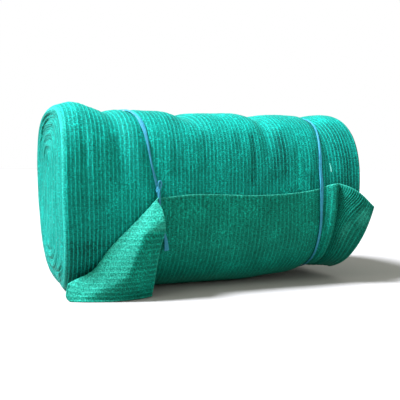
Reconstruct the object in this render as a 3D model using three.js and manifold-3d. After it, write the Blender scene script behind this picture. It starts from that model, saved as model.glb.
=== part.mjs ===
import * as THREE from 'three';
import { mergeVertices } from 'three/addons/utils/BufferGeometryUtils.js';
import Module from 'manifold-3d';

const wasm = await Module();
wasm.setup();

// A roll of green debris netting for a scaffold, lying on its side. Sizes are in mm.
// X runs along the roll, the front of the roll faces -Y and the floor is at z = 0.
// A place on the roll is given by x and by its turn in degrees: 0 is underneath,
// 90 is the front, 180 is the top and 270 is the back.

// The net is folded in four to the length of the roll, then wound
const halfLength = 375;
const halfDepth = 210;
const axisHeight = 215;
const squareness = 2.6;
// The upper front edge is squarer, because the last turn is pulled tight over it,
// and it gets rounder towards the right end
const frontEdge = { squareness: 0.8, end: 340, fade: 220 };
const stationCount = 62;
const angleCount = 48;
const angleStep = 360 / angleCount;

// The height of the top and of the underside along the roll. The lowest turn is
// pressed flat where the underside is below the floor.
const rollProfile = [
  { x: -375, top: 436, foot: -3.5 },
  { x: -337, top: 444, foot: -3.5 },
  { x: -290, top: 437, foot: -3.5 },
  { x: -200, top: 433, foot: -3.5 },
  { x: -20, top: 431, foot: -3.5 },
  { x: 50, top: 434, foot: -3.5 },
  { x: 110, top: 433, foot: -3.0 },
  { x: 160, top: 434, foot: 3 },
  { x: 230, top: 436, foot: 9 },
  { x: 290, top: 435, foot: 24 },
  { x: 345, top: 440, foot: 22 },
  { x: 375, top: 442, foot: 17 },
];

// Creases that run from the top down the front, each leaning along the roll
const creases = [
  { x: -264, lean: 24, depth: 11, width: 24, from: 96, to: 262 },
  { x: -76, lean: 26, depth: 15, width: 27, from: 125, to: 255 },
  { x: 134, lean: -14, depth: 13, width: 25, from: 105, to: 265 },
  { x: 316, lean: -34, depth: 6, width: 22, from: 90, to: 240 },
  { x: 205, lean: 0, depth: 5, width: 20, from: 78, to: 132 },
  { x: -330, lean: 4, depth: 4, width: 9, from: 60, to: 150 },
  { x: -20, lean: 6, depth: 3, width: 22, from: 62, to: 140 },
];

// Where the end faces meet the sides of the roll
const rims = [
  { turn: 0, left: -350, right: 366 },
  { turn: 45, left: -364, right: 374 },
  { turn: 90, left: -374, right: 384 },
  { turn: 135, left: -374, right: 388 },
  { turn: 180, left: -374, right: 384 },
  { turn: 225, left: -380, right: 380 },
  { turn: 270, left: -375, right: 378 },
  { turn: 315, left: -364, right: 372 },
  { turn: 360, left: -350, right: 366 },
];
const lastInset = 20;
const rimRound = [
  { inset: 0, sink: 9 },
  { inset: 3, sink: 4 },
  { inset: 9, sink: 1 },
];

// The end faces bulge, and their edges show the main turns of the winding
const endRings = 18;
const mainTurns = 4.5;
const turnRelief = 3;
const endBulge = 6;
const heartHollow = 9;
const heartReach = 0.12;
const rimBand = 0.12;
const turnSpread = 1.2;
const endFolds = [
  { side: -1, turn: 197, reach: 0.82, depth: 12, span: 20, width: 0.05 },
  { side: -1, turn: 36, reach: 0.82, depth: 8, span: 12, width: 0.06 },
  { side: 1, turn: 140, reach: 0.8, depth: 8, span: 40, width: 0.06 },
];

// The ties are film twine, gathered to an uneven width. The left one runs under the
// loose end, the right one over it.
const tieThickness = 1.2;
const tieGap = 1.8;
const tieSink = 5;
const tieBed = 15;
// The weight of the roll presses a tie deeper into it where it lies on the floor
const tieSinkUnderRoll = 4;
const underRollTurn = 28;
const underRollFade = 12;
const pressedFoot = -3.5;
const leftTieRoute = [
  { turn: 0, x: -140, width: 7 },
  { turn: 60, x: -147, width: 8 },
  { turn: 97, x: -165, width: 6 },
  { turn: 115, x: -180, width: 4 },
  { turn: 135, x: -191, width: 9 },
  { turn: 157, x: -203, width: 8 },
  { turn: 205, x: -211, width: 7 },
  { turn: 270, x: -186, width: 6 },
  { turn: 330, x: -150, width: 8 },
  { turn: 360, x: -140, width: 7 },
];
const rightTieRoute = [
  { turn: 0, x: 284, width: 7 },
  { turn: 45, x: 272, width: 6 },
  { turn: 75, x: 265, width: 7 },
  { turn: 110, x: 263, width: 9 },
  { turn: 131, x: 273, width: 6 },
  { turn: 153, x: 292, width: 5 },
  { turn: 195, x: 308, width: 7 },
  { turn: 270, x: 300, width: 8 },
  { turn: 330, x: 290, width: 6 },
  { turn: 360, x: 284, width: 7 },
];

// The loose end comes out from under the roll and lies up its front
const clothThickness = 2.5;
const clothGap = 1.5;
const rootTurn = 25;
const liftOverCloth = 5.8;
const clothUnderTie = { from: 11, to: 101 };
const clothRows = 18;
const clothColumns = 46;
const cornerColumns = 9;
const cornerRow = 2;
const sideEdgeAtRoot = -350;
const cutEdge = [
  { x: -375, turn: 92, flare: 0, slide: 0 },
  { x: -166, turn: 93, flare: 0, slide: 0 },
  { x: -74, turn: 95, flare: 0, slide: 0 },
  { x: 80, turn: 94, flare: 0, slide: 0 },
  { x: 178, turn: 95, flare: 0, slide: 0 },
  { x: 259, turn: 98, flare: 0, slide: 0 },
  { x: 291, turn: 101, flare: 2, slide: 0 },
  { x: 314, turn: 101, flare: 8, slide: 2 },
  { x: 344, turn: 96, flare: 24, slide: 8 },
  { x: 375, turn: 86, flare: 41, slide: 16 },
];

const flareCurve = 1.6;

// The right tie gathers the loose end towards it, and the cloth stands off the roll in
// folds on both sides of the tie. Levels go from 0 at the root to 1 at the cut edge.
const gather = { x: 266, share: 0.22, width: 90, level: 0.5, spread: 0.3 };
const gatherFolds = [
  { x: 294, out: 11, width: 12 },
  { x: 313, out: -5, width: 9 },
  { x: 345, out: 7, width: 26 },
];
const foldRise = 0.35;
const foldEnd = 1.35;
const foldFade = 0.5;

// Its left corner is folded over to the front and stands on the floor. The ridge of
// the fold falls from the apex to the first point of this foot line.
const apex = new THREE.Vector3(-168, -219, 226);
const cornerBow = 24;
const cornerBand = 44;
const cornerLeg = 205;
const cornerFootHeight = 1.7;
const cornerFoot = [
  { way: 0, x: -360, y: -176, z: 40 },
  { way: 0.07, x: -366, y: -182, z: 14 },
  { way: 0.14, x: -356, y: -188, z: cornerFootHeight },
  { way: 0.3, x: -318, y: -203, z: cornerFootHeight },
  { way: 0.5, x: -264, y: -217, z: cornerFootHeight },
  { way: 0.8, x: -204, y: -210, z: cornerFootHeight },
  { way: 1, x: -174, y: -197, z: cornerFootHeight },
];
const cornerSag = 6;
const ridgeBow = 0.45;
const ridgeRound = 14;
const bowCurve = 0.8;
const footBow = 0.97;
const edgeSwell = { out: 17, fall: 0.24, width: 0.2, from: 0.3, rise: 0.1 };

// How far from the ridge the cloth needs to settle onto the roll
const settleAtTop = 12;
const settleAtFoot = 75;

const netMaterial = new THREE.MeshStandardMaterial({
  name: 'green_net', color: 0x1c9683, roughness: 0.8, metalness: 0,
});
const looseMaterial = new THREE.MeshStandardMaterial({
  name: 'green_net_end', color: 0x178270, roughness: 0.8, metalness: 0,
});
const tieMaterial = new THREE.MeshStandardMaterial({
  name: 'blue_twine', color: 0x58a2d6, roughness: 0.4, metalness: 0,
});

function clamp01(value) {
  return Math.min(1, Math.max(0, value));
}

function ease(value) {
  const t = clamp01(value);
  return t * t * (3 - 2 * t);
}

function bell(distance, width) {
  return Math.exp(-((distance / width) ** 2));
}

// A smooth curve through one column of a table, held level past its ends
function read(rows, key, column, at) {
  const last = rows.length - 1;
  if (at <= rows[0][key]) return rows[0][column];
  if (at >= rows[last][key]) return rows[last][column];
  const i = rows.findIndex((row) => row[key] > at) - 1;
  const slope = (k) => {
    const low = rows[Math.max(0, k - 1)];
    const high = rows[Math.min(last, k + 1)];
    return (high[column] - low[column]) / (high[key] - low[key]);
  };
  const span = rows[i + 1][key] - rows[i][key];
  const t = (at - rows[i][key]) / span;
  const a = rows[i][column];
  const b = rows[i + 1][column];
  return a + (b - a) * (3 - 2 * t) * t * t
    + span * t * (1 - t) * (slope(i) * (1 - t) - slope(i + 1) * t);
}

function wrap(turn) {
  return ((turn % 360) + 360) % 360;
}

// The distance of the roll's surface from its axis. The beds are the tie routes
// whose groove is pressed into the surface.
function rollRadius(x, turn, beds) {
  const angle = THREE.MathUtils.degToRad(turn);
  const side = Math.sin(angle);
  const down = Math.cos(angle);
  const reach = down > 0
    ? axisHeight - read(rollProfile, 'x', 'foot', x)
    : read(rollProfile, 'x', 'top', x) - axisHeight;
  const atFrontEdge = turn > 90 && turn < 180 ? Math.sin(2 * (angle - Math.PI / 2)) : 0;
  const tight = frontEdge.squareness * ease((frontEdge.end - x) / frontEdge.fade);
  const power = squareness + tight * atFrontEdge;
  const norm = Math.abs(side / halfDepth) ** power + Math.abs(down / reach) ** power;
  let radius = norm ** (-1 / power);
  for (const crease of creases) {
    const centre = crease.x + crease.lean * clamp01((180 - turn) / 90);
    const fade = ease((turn - crease.from) / 30) * ease((crease.to - turn) / 40);
    radius -= crease.depth * fade * bell(x - centre, crease.width);
  }
  const fromFoot = Math.min(turn, 360 - turn);
  const pressed = ease(read(rollProfile, 'x', 'foot', x) / pressedFoot);
  const sink = tieSink + tieSinkUnderRoll * pressed * ease((underRollTurn - fromFoot) / underRollFade);
  for (const bed of beds) radius -= sink * bell(x - read(bed, 'turn', 'x', turn), tieBed);
  return radius;
}

function rollPoint(x, turn, beds, lift = 0) {
  const angle = THREE.MathUtils.degToRad(turn);
  const radius = rollRadius(x, wrap(turn), beds) + lift;
  const z = axisHeight - radius * Math.cos(angle);
  return new THREE.Vector3(x, -radius * Math.sin(angle), Math.max(z, 0));
}

// The places along the roll where its sections stand, closer together at the rims
function stations(turn) {
  const left = read(rims, 'turn', 'left', turn);
  const right = read(rims, 'turn', 'right', turn);
  const places = rimRound.map((row) => ({ x: left + row.inset, sink: row.sink }));
  const between = stationCount - 2 * rimRound.length;
  for (let i = 0; i < between; i += 1) {
    const x = left + lastInset + (right - left - 2 * lastInset) * (i / (between - 1));
    places.push({ x, sink: 0 });
  }
  return places.concat(rimRound.map((row) => ({ x: right - row.inset, sink: row.sink })).reverse());
}

// How far an end face stands out at a part of the way from the heart to the rim
function endRelief(side, reach, turn) {
  const spiral = Math.cos(2 * Math.PI * (mainTurns * reach ** turnSpread - (side * turn) / 360));
  let out = endBulge * (1 - reach ** 4) + turnRelief * spiral * ease((1 - reach) / rimBand);
  out -= heartHollow * bell(reach, heartReach);
  for (const fold of endFolds.filter((row) => row.side === side)) {
    out -= fold.depth * bell(turn - fold.turn, fold.span) * bell(reach - fold.reach, fold.width);
  }
  return out;
}

function solidMesh(name, points, triangles, material) {
  const geometry = new THREE.BufferGeometry();
  geometry.setAttribute('position', new THREE.Float32BufferAttribute(points.flatMap((p) => [...p]), 3));
  geometry.setIndex(triangles.flat());
  geometry.computeVertexNormals();
  const mesh = new THREE.Mesh(geometry, material);
  mesh.name = name;
  return mesh;
}

const bedsOfTies = [leftTieRoute, rightTieRoute];

// The sections of the roll, one list of points for each angle
const rollSections = [];
for (let k = 0; k < angleCount; k += 1) {
  const turn = k * angleStep;
  rollSections.push(stations(turn).map(
    (place) => rollPoint(place.x, turn, bedsOfTies, -place.sink),
  ));
}

function buildRoll() {
  const points = [];
  const triangles = [];
  const place = (i, k) => i * angleCount + (k % angleCount);
  for (let i = 0; i < stationCount; i += 1) {
    for (let k = 0; k < angleCount; k += 1) points.push(rollSections[k][i]);
  }
  for (let i = 0; i < stationCount - 1; i += 1) {
    for (let k = 0; k < angleCount; k += 1) {
      triangles.push([place(i, k), place(i + 1, k + 1), place(i, k + 1)]);
      triangles.push([place(i, k), place(i + 1, k), place(i + 1, k + 1)]);
    }
  }
  addEnd(points, triangles, -1, (k) => place(0, k));
  addEnd(points, triangles, 1, (k) => place(stationCount - 1, k));
  return solidMesh('net_roll', points, triangles, netMaterial);
}

// Closes one end with rings of points that shrink to the heart of the winding
function addEnd(points, triangles, side, rimPlace) {
  let outer = rimPlace;
  const add = (a, b, c) => triangles.push(side > 0 ? [a, c, b] : [a, b, c]);
  for (let ring = 1; ring < endRings; ring += 1) {
    const reach = 1 - ring / endRings;
    const first = points.length;
    for (let k = 0; k < angleCount; k += 1) {
      const rim = points[rimPlace(k)];
      const out = endRelief(side, reach, k * angleStep) - endRelief(side, 1, k * angleStep);
      const middle = side * (halfLength - 4);
      const x = middle + (rim.x - middle) * reach ** 3 + side * out;
      points.push(new THREE.Vector3(x, rim.y * reach, axisHeight + (rim.z - axisHeight) * reach));
    }
    const inner = (k) => first + (k % angleCount);
    for (let k = 0; k < angleCount; k += 1) {
      add(outer(k), outer(k + 1), inner(k + 1));
      add(outer(k), inner(k + 1), inner(k));
    }
    outer = inner;
  }
  const heart = points.length;
  points.push(new THREE.Vector3(side * (halfLength - 4 + endBulge - heartHollow), 0, axisHeight));
  for (let k = 0; k < angleCount; k += 1) add(outer(k), outer(k + 1), heart);
}

// The middle of the cloth where it lies on the roll. Level 0 is at its root under
// the roll and level 1 at its cut edge.
function clothOnRoll(x, level) {
  const turn = rootTurn + (read(cutEdge, 'x', 'turn', x) - rootTurn) * level;
  const flare = read(cutEdge, 'x', 'flare', x) * level ** flareCurve;
  const slide = read(cutEdge, 'x', 'slide', x) * level;
  const folds = gatherFolds.reduce((sum, fold) => sum + fold.out * bell(x - fold.x, fold.width), 0);
  const pull = gather.share * bell(level - gather.level, gather.spread);
  const point = rollPoint(x, turn, [rightTieRoute], clothGap + clothThickness / 2);
  point.x += slide - (x - gather.x) * pull * bell(x - gather.x, gather.width);
  point.y -= flare + folds * ease(level / foldRise) * ease((foldEnd - level) / foldFade);
  return point;
}

// A place on the folded-over corner, spread out as a triangle with its apex at the
// top of its upright edge: across and up run from 0 to 1.
function cornerPoint(across, up) {
  const fall = Math.max(1 - up, 1e-6);
  const way = clamp01(1 - (1 - across) / fall);
  const foot = new THREE.Vector3(...['x', 'y', 'z'].map((axis) => read(cornerFoot, 'way', axis, way)));
  const point = apex.clone().lerp(foot, fall);
  const fromRidge = cornerLeg * (across - up) * Math.SQRT1_2;
  const rounding = ridgeBow + (1 - ridgeBow) * ease(fromRidge / (ridgeRound + cornerBand * fall));
  point.y -= cornerBow * rounding * Math.sin(Math.PI * Math.min(fall, footBow)) ** bowCurve;
  point.z -= cornerSag * Math.sin(Math.PI * fall);
  const atEdge = ease((way - edgeSwell.from) / (1 - edgeSwell.from)) * ease(fall / edgeSwell.rise);
  point.x += edgeSwell.out * bell(fall - edgeSwell.fall, edgeSwell.width) * atEdge;
  return point;
}

// The middle of the whole loose end: its columns start on the folded-over corner,
// turn back at the ridge and then run along the front of the roll.
function clothMiddle(row, column) {
  const level = row / clothRows;
  const climb = clamp01((row - cornerRow) / (clothRows - cornerRow));
  if (column < cornerColumns) {
    return cornerPoint(climb, climb * (column / cornerColumns));
  }
  const ridge = cornerPoint(climb, climb);
  if (row < cornerRow) {
    const root = clothOnRoll(sideEdgeAtRoot, 0);
    ridge.lerp(root, 1 - row / cornerRow);
    ridge.z = Math.max(ridge.z, cornerFootHeight);
  }
  const across = (column - cornerColumns) / clothColumns;
  const x = ridge.x + (halfLength - ridge.x) * across;
  const settle = 1 - ease((x - ridge.x) / (settleAtTop + settleAtFoot * (1 - level)));
  const step = ridge.clone().sub(clothOnRoll(ridge.x, level));
  return clothOnRoll(x, level).addScaledVector(step, settle);
}

function buildLooseEnd() {
  const columns = clothColumns + cornerColumns;
  const middle = [];
  for (let row = 0; row <= clothRows; row += 1) {
    middle.push([]);
    for (let column = 0; column <= columns; column += 1) {
      const onSideEdge = row <= cornerRow && column < cornerColumns;
      middle[row].push(clothMiddle(row, onSideEdge ? cornerColumns : column));
    }
  }
  const points = [];
  const ids = new Map();
  const keep = (point) => {
    const key = [point.x, point.y, point.z].map((v) => v.toFixed(3)).join();
    if (!ids.has(key)) ids.set(key, points.push(point) - 1);
    return ids.get(key);
  };
  const faces = { front: [], back: [] };
  for (let row = 0; row <= clothRows; row += 1) {
    faces.front.push([]);
    faces.back.push([]);
    for (let column = 0; column <= columns; column += 1) {
      const at = row <= cornerRow ? Math.max(column, cornerColumns) : column;
      const before = row <= cornerRow ? Math.max(at - 1, cornerColumns) : Math.max(at - 1, 0);
      const along = middle[row][Math.min(at + 1, columns)].clone().sub(middle[row][before]);
      const up = middle[Math.min(row + 1, clothRows)][at].clone().sub(middle[Math.max(row - 1, 0)][at]);
      const normal = along.cross(up).normalize().multiplyScalar(clothThickness / 2);
      faces.front[row].push(keep(middle[row][at].clone().add(normal)));
      faces.back[row].push(keep(middle[row][at].clone().sub(normal)));
    }
  }
  const triangles = [];
  const add = (a, b, c) => {
    if (a !== b && b !== c && c !== a) triangles.push([a, b, c]);
  };
  const quad = (a, b, c, d) => {
    add(a, b, c);
    add(a, c, d);
  };
  const { front, back } = faces;
  for (let row = 0; row < clothRows; row += 1) {
    for (let column = 0; column < columns; column += 1) {
      quad(front[row][column], front[row][column + 1], front[row + 1][column + 1], front[row + 1][column]);
      quad(back[row][column], back[row + 1][column], back[row + 1][column + 1], back[row][column + 1]);
    }
    quad(front[row][0], front[row + 1][0], back[row + 1][0], back[row][0]);
    quad(back[row][columns], back[row + 1][columns], front[row + 1][columns], front[row][columns]);
  }
  for (let column = 0; column < columns; column += 1) {
    quad(back[0][column], back[0][column + 1], front[0][column + 1], front[0][column]);
    quad(front[clothRows][column], front[clothRows][column + 1],
      back[clothRows][column + 1], back[clothRows][column]);
  }
  return solidMesh('loose_end', points, triangles, looseMaterial);
}

// A point on the facets of the roll at one of its angles
function facetPoint(x, turn) {
  const section = rollSections[Math.round(wrap(turn) / angleStep) % angleCount];
  const i = Math.max(1, section.findIndex((point) => point.x > x));
  const low = section[i - 1];
  const high = section[i];
  return low.clone().lerp(high, (x - low.x) / (high.x - low.x));
}

// A closed ribbon or an open one through a list of frames, each with its middle, its
// outward direction, its direction across and its width
function ribbon(frames, closed) {
  const corners = [[-0.5, 1], [0.5, 1], [0.5, 0], [-0.5, 0]];
  const points = frames.flatMap((frame) => corners.map(([across, up]) => frame.foot.clone()
    .addScaledVector(frame.across, across * frame.width)
    .addScaledVector(frame.out, up * tieThickness)));
  const triangles = [];
  const count = frames.length;
  for (let i = 0; i < (closed ? count : count - 1); i += 1) {
    for (let c = 0; c < 4; c += 1) {
      const d = (c + 1) % 4;
      const next = ((i + 1) % count) * 4;
      triangles.push([i * 4 + c, i * 4 + d, next + d], [i * 4 + c, next + d, next + c]);
    }
  }
  if (!closed) {
    const end = (count - 1) * 4;
    triangles.push([0, 3, 2], [0, 2, 1], [end, end + 1, end + 2], [end, end + 2, end + 3]);
  }
  return { points, triangles };
}

function tieFrames(route, liftAt) {
  const frames = [];
  for (let k = 0; k < angleCount; k += 1) {
    const turn = k * angleStep;
    const angle = THREE.MathUtils.degToRad(turn);
    const x = read(route, 'turn', 'x', turn);
    const out = new THREE.Vector3(0, -Math.sin(angle), -Math.cos(angle));
    frames.push({
      foot: facetPoint(x, turn).addScaledVector(out, tieGap + liftAt(turn)),
      out,
      across: new THREE.Vector3(1, 0, 0),
      width: read(route, 'turn', 'width', turn),
    });
  }
  return frames;
}

function buildRightTie() {
  const lift = (turn) => (turn > clothUnderTie.from && turn < clothUnderTie.to ? liftOverCloth : 0);
  const { points, triangles } = ribbon(tieFrames(rightTieRoute, lift), true);
  return solidMesh('right_tie', points, triangles, tieMaterial);
}

function toSolid({ points, triangles }) {
  return new wasm.Manifold(new wasm.Mesh({
    numProp: 3,
    vertProperties: new Float32Array(points.flatMap((p) => [...p])),
    triVerts: new Uint32Array(triangles.flat()),
  }));
}

// The left tie has a knot just above the cut edge and a tail that hangs behind the
// folded-over corner
const knotTurn = 97.5;
const knotSize = [7, 5, 9];
const knotLean = 0.35;
const knotLift = 6.6;
const tailRoute = [
  { turn: 98, x: -163, lift: 4, width: 6 },
  { turn: 94.5, x: -158, lift: 5.5, width: 6 },
  { turn: 90, x: -155, lift: 6, width: 5 },
  { turn: 82, x: -155, lift: 6, width: 4 },
  { turn: 75, x: -152, lift: 6.5, width: 4 },
  { turn: 69, x: -147, lift: 8, width: 6 },
  { turn: 62, x: -142, lift: 10, width: 9 },
];

function buildLeftTie() {
  const loop = toSolid(ribbon(tieFrames(leftTieRoute, () => 0), true));
  const knotPoint = facetPoint(read(leftTieRoute, 'turn', 'x', knotTurn), knotTurn);
  const knotShape = new THREE.SphereGeometry(1, 10, 7);
  knotShape.deleteAttribute('normal');
  knotShape.deleteAttribute('uv');
  const ball = mergeVertices(knotShape.scale(...knotSize).rotateY(knotLean)
    .translate(knotPoint.x, knotPoint.y - knotLift, knotPoint.z));
  const knot = new wasm.Manifold(new wasm.Mesh({
    numProp: 3, vertProperties: ball.attributes.position.array, triVerts: new Uint32Array(ball.index.array),
  }));
  const tail = toSolid(ribbon(tailRoute.map((row) => {
    const angle = THREE.MathUtils.degToRad(row.turn);
    const out = new THREE.Vector3(0, -Math.sin(angle), -Math.cos(angle));
    return {
      foot: rollPoint(row.x, row.turn, [], row.lift),
      out,
      across: new THREE.Vector3(1, 0, 0),
      width: row.width,
    };
  }).reverse(), false));
  const joined = loop.add(knot).add(tail).getMesh();
  const points = [];
  for (let i = 0; i < joined.vertProperties.length; i += joined.numProp) {
    points.push(new THREE.Vector3(...joined.vertProperties.slice(i, i + 3)));
  }
  const triangles = [];
  for (let i = 0; i < joined.triVerts.length; i += 3) {
    triangles.push([...joined.triVerts.slice(i, i + 3)]);
  }
  return solidMesh('left_tie', points, triangles, tieMaterial);
}

const group = new THREE.Group();
group.name = 'scaffold_net_roll';
group.add(buildRoll(), buildLooseEnd(), buildLeftTie(), buildRightTie());

export default group;
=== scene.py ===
# %% [markdown]
# # A roll of scaffold netting
# The real thing is knitted green net, folded in four along its length, wound into a roll
# and held by two ties of blue film twine. The last stretch of the net lies up the front,
# with one corner folded over and the other standing off.
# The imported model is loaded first, because each piece made here takes the place of one of
# its solids. All the shape work below is in millimetres, and one helper turns it to metres.

# %% The frame
import bpy
import math
import numpy as np
from mathutils import Matrix, Vector


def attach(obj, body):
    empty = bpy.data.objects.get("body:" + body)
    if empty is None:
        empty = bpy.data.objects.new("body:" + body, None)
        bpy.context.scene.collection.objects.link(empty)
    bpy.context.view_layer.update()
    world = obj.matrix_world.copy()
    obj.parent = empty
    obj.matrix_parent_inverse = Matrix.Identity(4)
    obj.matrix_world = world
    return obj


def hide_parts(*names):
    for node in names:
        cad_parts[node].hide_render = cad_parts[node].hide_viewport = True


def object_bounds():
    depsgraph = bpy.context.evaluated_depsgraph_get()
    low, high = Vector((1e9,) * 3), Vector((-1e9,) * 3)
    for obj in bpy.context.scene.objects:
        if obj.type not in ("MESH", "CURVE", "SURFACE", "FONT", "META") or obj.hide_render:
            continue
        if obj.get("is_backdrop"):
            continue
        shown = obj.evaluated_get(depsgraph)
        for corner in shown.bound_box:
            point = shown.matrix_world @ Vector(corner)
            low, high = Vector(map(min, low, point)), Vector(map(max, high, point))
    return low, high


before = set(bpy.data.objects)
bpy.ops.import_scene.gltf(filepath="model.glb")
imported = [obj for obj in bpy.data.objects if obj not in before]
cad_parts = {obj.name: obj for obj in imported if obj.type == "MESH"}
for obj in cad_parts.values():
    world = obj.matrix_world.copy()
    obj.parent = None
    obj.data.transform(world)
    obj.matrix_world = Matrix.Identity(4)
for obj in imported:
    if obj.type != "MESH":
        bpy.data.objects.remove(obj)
cad_box = [list(corner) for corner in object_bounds()]
print("solids:", sorted(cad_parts))
print("box of the solids:", [[round(v, 3) for v in corner] for corner in cad_box])

# %% [markdown]
# ## The camera
# The picture was taken from a little to the left of square on and slightly above, close
# enough for the near end to look larger. A camera is three directions and a place, so the
# matrix is written out here: right, up and back are its columns. In Blender a thing in the
# scene is an object that points to its data, so one helper makes every object from here on.

# %% The camera
def new_object(name, data):
    """An object that shows this data, linked to the scene."""
    thing = bpy.data.objects.new(name, data)
    bpy.context.scene.collection.objects.link(thing)
    return thing


view_turn, view_height, view_roll = math.radians(-22), math.radians(4), math.radians(0.8)
view_distance, looked_at = 1.60, Vector((0.021, 0, 0.204))
film_width, lens_length = 36, 53.82
back = Vector((math.sin(view_turn) * math.cos(view_height),
               -math.cos(view_turn) * math.cos(view_height), math.sin(view_height)))
level_right = (-back).cross(Vector((0, 0, 1))).normalized()
level_up = level_right.cross(-back)
right = level_right * math.cos(view_roll) + level_up * math.sin(view_roll)
up = level_up * math.cos(view_roll) - level_right * math.sin(view_roll)
camera_data = bpy.data.cameras.new("camera")
camera_data.sensor_width, camera_data.lens = film_width, lens_length
camera = new_object("camera", camera_data)
turned = Matrix((right, up, back)).transposed().to_4x4()
camera.matrix_world = Matrix.Translation(looked_at + back * view_distance) @ turned
bpy.context.scene.camera = camera
print("lens in mm:", round(camera_data.lens, 2), "distance in m:", view_distance)

# %% [markdown]
# ## Smooth curves from short tables
# The roll isn't a plain cylinder: its top rises and falls, ties press into it and its ends
# lean. Each of these is a short table, and one curve reader makes it smooth. An ease is a
# soft step from 0 to 1 and a bell is a soft bump.

# %% Readers and soft steps
def ease(value):
    """A soft step: 0 up to 0, and 1 from 1 on."""
    t = np.clip(value, 0.0, 1.0)
    return t * t * (3 - 2 * t)


def bell(distance, width):
    """A soft bump: 1 in its middle, and about a third of that one width away."""
    return np.exp(-((distance / width) ** 2))


def read(table, key, column, at):
    """A column of a table as a smooth curve over its key column, level past both ends."""
    keys, values = np.array(table[key], float), np.array(table[column], float)
    number = np.arange(len(keys))
    before, after = np.maximum(number - 1, 0), np.minimum(number + 1, len(keys) - 1)
    slopes = (values[after] - values[before]) / (keys[after] - keys[before])
    at = np.clip(at, keys[0], keys[-1])
    i = np.clip(np.searchsorted(keys, at, side="right") - 1, 0, len(keys) - 2)
    span = keys[i + 1] - keys[i]
    t = (at - keys[i]) / span
    a, b = values[i], values[i + 1]
    return (a + (b - a) * (3 - 2 * t) * t * t
            + span * t * (1 - t) * (slopes[i] * (1 - t) - slopes[i + 1] * t))


def scatter(number, seed):
    """A number from 0 to 1 for each whole number, always the same one."""
    wild = np.sin(np.asarray(number, float) * 12.9898 + seed * 78.233) * 43758.5453
    return wild - np.floor(wild)


def drift(at, seed):
    """A smooth wander from -1 to 1 with one swing for each unit."""
    low = np.floor(at)
    t = ease(at - low)
    return 2 * (scatter(low, seed) * (1 - t) + scatter(low + 1, seed) * t) - 1


def swell(across, along, seed):
    """A smooth wander over a surface: each whole number along has a drift of its own."""
    low, apart = np.floor(along), 17.3
    t = ease(along - low)
    return (drift(across + apart * low, seed) * (1 - t)
            + drift(across + apart * (low + 1), seed) * t)


print("ease at a half:", ease(0.5), "bell at its width:", round(float(bell(1, 1)), 3))

# %% [markdown]
# ## The form of the roll
# A place on the roll is its distance along, x, and its turn in degrees: 0 underneath, 90 in
# front, 180 on top. The section is a rounded square, a little wider than tall, which a
# superellipse gives with one number. The tables are the same as those of the solid, so
# that the knitted surface lies on it. The front's upper edge is squarer than the rest, and
# under the roll the ties lie deeper, because the weight presses them in.

# %% Tables of the roll
half_length, half_depth, axis_height, squareness = 375, 210, 215, 2.6
roll_profile = {
    "x": [-375, -337, -290, -200, -20, 50, 110, 160, 230, 290, 345, 375],
    "top": [436, 444, 437, 433, 431, 434, 433, 434, 436, 435, 440, 442],
    "foot": [-3.5, -3.5, -3.5, -3.5, -3.5, -3.5, -3.0, 3, 9, 24, 22, 17],
}
creases = {
    "x": [-264, -76, 134, 316, 205, -330, -20],
    "lean": [24, 26, -14, -34, 0, 4, 6],
    "depth": [11, 15, 13, 6, 5, 4, 3],
    "width": [24, 27, 25, 22, 20, 9, 22],
    "from": [96, 125, 105, 90, 78, 60, 62],
    "to": [262, 255, 265, 240, 132, 150, 140],
}
rims = {
    "turn": [0, 45, 90, 135, 180, 225, 270, 315, 360],
    "left": [-350, -364, -374, -374, -374, -380, -375, -364, -350],
    "right": [366, 374, 384, 388, 384, 380, 378, 372, 366],
}
left_tie_route = {
    "turn": [0, 60, 97, 115, 135, 157, 205, 270, 330, 360],
    "x": [-140, -147, -165, -180, -191, -203, -211, -186, -150, -140],
    "width": [7, 8, 6, 4, 9, 8, 7, 6, 8, 7],
}
right_tie_route = {
    "turn": [0, 45, 75, 110, 131, 153, 195, 270, 330, 360],
    "x": [284, 272, 265, 263, 273, 292, 308, 300, 290, 284],
    "width": [7, 6, 7, 9, 6, 5, 7, 8, 6, 7],
}
tie_sink, tie_bed = 5, 15
flat_spot = {"sink": 3.5, "tie_sink": 4, "turn": 28, "fade": 12}
front_edge = {"squareness": 0.8, "end": 340, "fade": 220}


def roll_radius(x, turn, beds):
    """How far the net is from the roll's axis line, with its creases and the ties' beds."""
    angle = np.radians(turn)
    side, down = np.sin(angle), np.cos(angle)
    reach = np.where(down > 0, axis_height - read(roll_profile, "x", "foot", x),
                     read(roll_profile, "x", "top", x) - axis_height)
    at_edge = np.where((turn > 90) & (turn < 180), np.sin(2 * angle - math.pi), 0)
    squarer = front_edge["squareness"] * ease((front_edge["end"] - x) / front_edge["fade"])
    power = squareness + squarer * at_edge
    norm = np.abs(side / half_depth) ** power + np.abs(down / reach) ** power
    radius = norm ** (-1 / power)
    for cx, lean, depth, width, start, end in zip(*creases.values()):
        centre = cx + lean * np.clip((180 - turn) / 90, 0, 1)
        fade = ease((turn - start) / 30) * ease((end - turn) / 40)
        radius = radius - depth * fade * bell(x - centre, width)
    pressed = ease(read(roll_profile, "x", "foot", x) / -flat_spot["sink"])
    beneath = ease((flat_spot["turn"] - np.minimum(turn, 360 - turn)) / flat_spot["fade"])
    sink = tie_sink + flat_spot["tie_sink"] * pressed * beneath
    for bed in beds:
        radius = radius - sink * bell(x - read(bed, "turn", "x", turn), tie_bed)
    return radius


def roll_point(x, turn, beds, lift=0.0):
    """A point on the roll, or this far above its surface."""
    x, turn = np.broadcast_arrays(np.asarray(x, float), np.asarray(turn, float))
    radius = roll_radius(x, turn % 360, beds) + lift
    angle = np.radians(turn)
    z = np.maximum(axis_height - radius * np.cos(angle), 0)
    return np.stack([x, -radius * np.sin(angle), z], axis=-1)


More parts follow.
